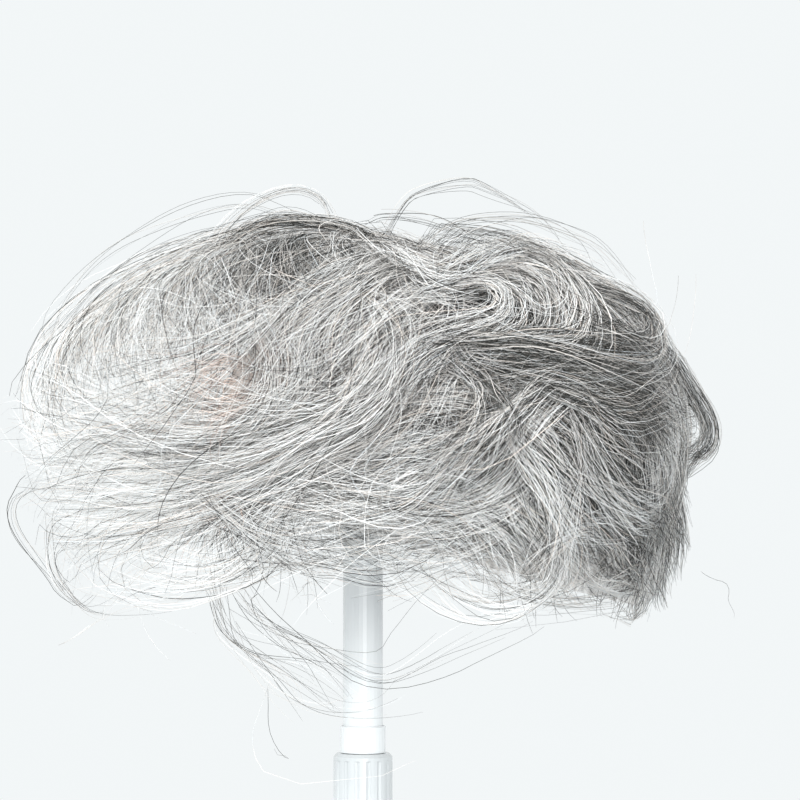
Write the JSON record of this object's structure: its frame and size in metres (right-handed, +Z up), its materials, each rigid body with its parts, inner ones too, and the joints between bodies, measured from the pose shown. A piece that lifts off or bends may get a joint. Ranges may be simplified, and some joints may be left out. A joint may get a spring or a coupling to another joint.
{
  "type": "partial wig on a post stand",
  "caption": "Tousled salt-and-pepper partial wig with a rolled quiff, on a white post stand with a fluted grip and a round foot.",
  "frame": {"origin": "centre of the foot's underside, on the post's axis", "axes": "+Z up the post; -X towards the wig's front, +X towards its nape; Y across the head"},
  "size_m": [0.3202, 0.2458, 0.4088],
  "materials": {
    "grey_hair": "satin",
    "flesh_poly_base": "matte",
    "white_stand_plastic": "gloss"
  },
  "bodies": {
    "root": {"cap_base": "flesh_poly_base", "hair": "grey_hair", "stand_foot": "white_stand_plastic", "stand_outer_tube": "white_stand_plastic", "stand_grip": "white_stand_plastic", "stand_collar": "white_stand_plastic", "stand_pole": "white_stand_plastic", "stand_rest": "white_stand_plastic"}
  },
  "joints": []
}
